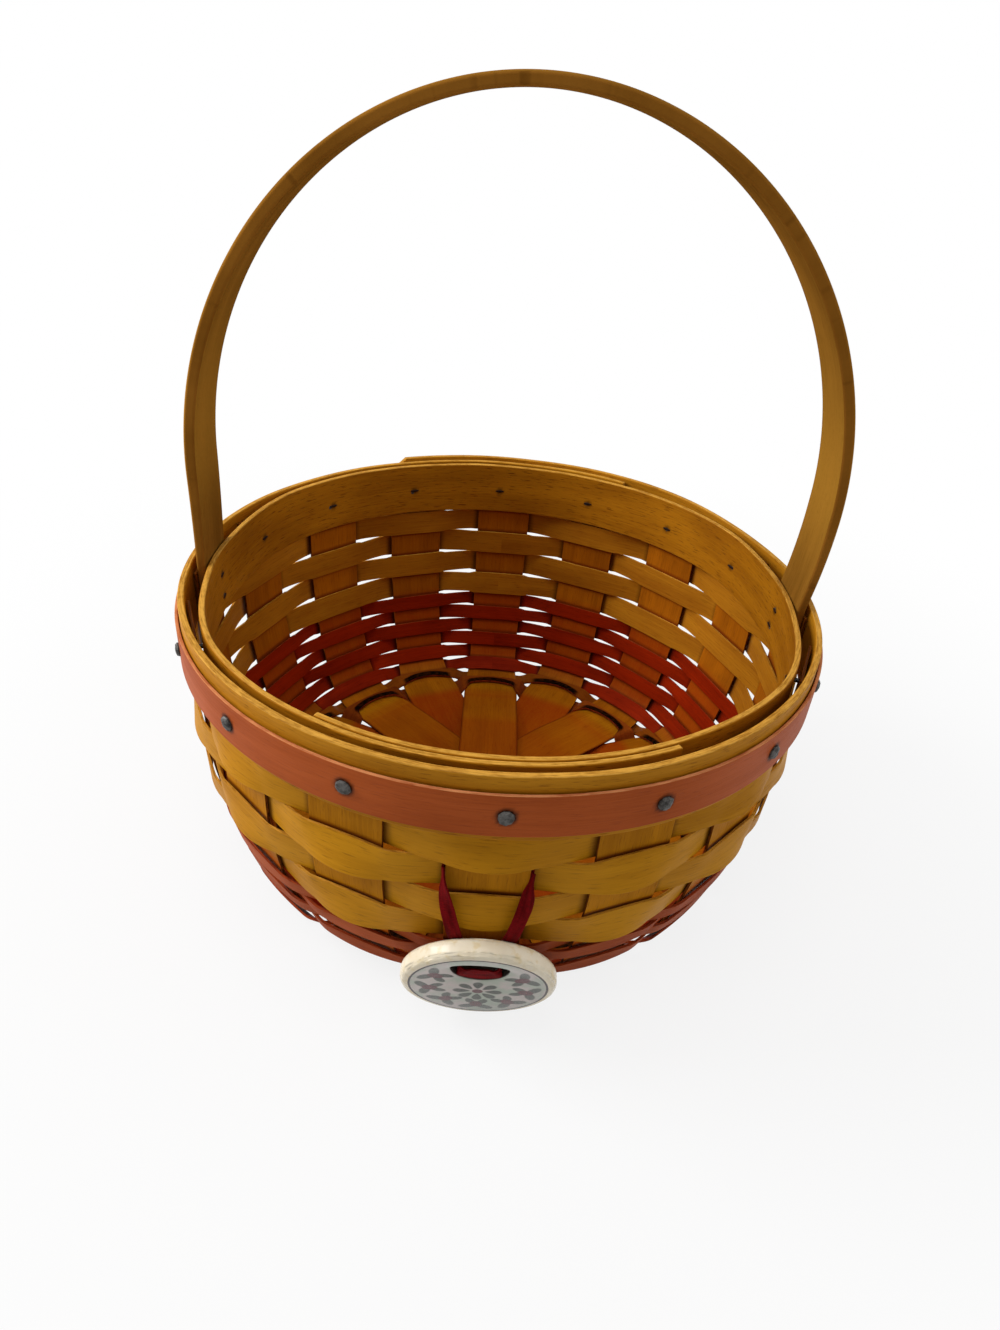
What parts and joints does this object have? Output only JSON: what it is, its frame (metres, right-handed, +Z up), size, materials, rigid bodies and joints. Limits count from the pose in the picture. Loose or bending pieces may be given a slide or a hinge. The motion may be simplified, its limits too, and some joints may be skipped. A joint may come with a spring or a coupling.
{
  "type": "round splint basket",
  "caption": "Round woven splint basket with a fixed hoop handle, nailed rim bands, a dyed trim strip and a glazed tag on a ribbon; it holds and carries small things.",
  "frame": {"origin": "on the table under the middle of the base", "axes": "+Z up to the handle's top, +X along the handle's span, -Y towards the side with the tag"},
  "size_m": [0.2038, 0.21, 0.229],
  "materials": {
    "upright_splint": "satin oiled splint",
    "natural_splint": "satin oiled splint",
    "dyed_splint": "red dyed splint",
    "base_reed": "dark dyed reed",
    "rim_band": "satin oiled splint",
    "rim_trim": "dusty rose dyed splint",
    "handle": "satin oiled bentwood",
    "nail": "dull hammered head",
    "ribbon": "burgundy satin",
    "ceramic": "cream glaze, opaque"
  },
  "bodies": {
    "basket": {"upright_1": "upright_splint", "upright_2": "upright_splint", "upright_3": "upright_splint", "upright_4": "upright_splint", "upright_5": "upright_splint", "upright_6": "upright_splint", "upright_7": "upright_splint", "upright_8": "upright_splint", "natural_weaver_1": "natural_splint", "natural_weaver_2": "natural_splint", "natural_weaver_3": "natural_splint", "natural_weaver_4": "natural_splint", "dyed_weaver_1": "dyed_splint", "dyed_weaver_2": "dyed_splint", "dyed_weaver_3": "dyed_splint", "dyed_weaver_4": "dyed_splint", "dyed_weaver_5": "dyed_splint", "dyed_weaver_6": "dyed_splint", "base_reed_1": "base_reed", "base_reed_2": "base_reed", "inner_rim_band": "rim_band", "outer_rim_band": "rim_band", "trim_strip": "rim_trim", "hoop_handle": "handle", "rim_nail_1": "nail", "rim_nail_2": "nail", "rim_nail_3": "nail", "rim_nail_4": "nail", "rim_nail_5": "nail", "rim_nail_6": "nail", "rim_nail_7": "nail", "rim_nail_8": "nail", "rim_nail_9": "nail", "rim_nail_10": "nail", "rim_nail_11": "nail", "rim_nail_12": "nail", "rim_nail_13": "nail", "rim_nail_14": "nail", "rim_nail_15": "nail", "rim_nail_16": "nail", "rim_nail_17": "nail", "rim_nail_18": "nail", "ribbon_tie": "ribbon"},
    "tag": {"ribbon_loop": "ribbon", "ceramic_tag": "ceramic"}
  },
  "joints": [
    {"name": "tag_swing", "type": "hinge", "parent": "basket", "child": "tag", "pos_m": [0, -0.09632, 0.06349], "axis": [-1, 0, 0], "range_deg": [0, 85]}
  ]
}
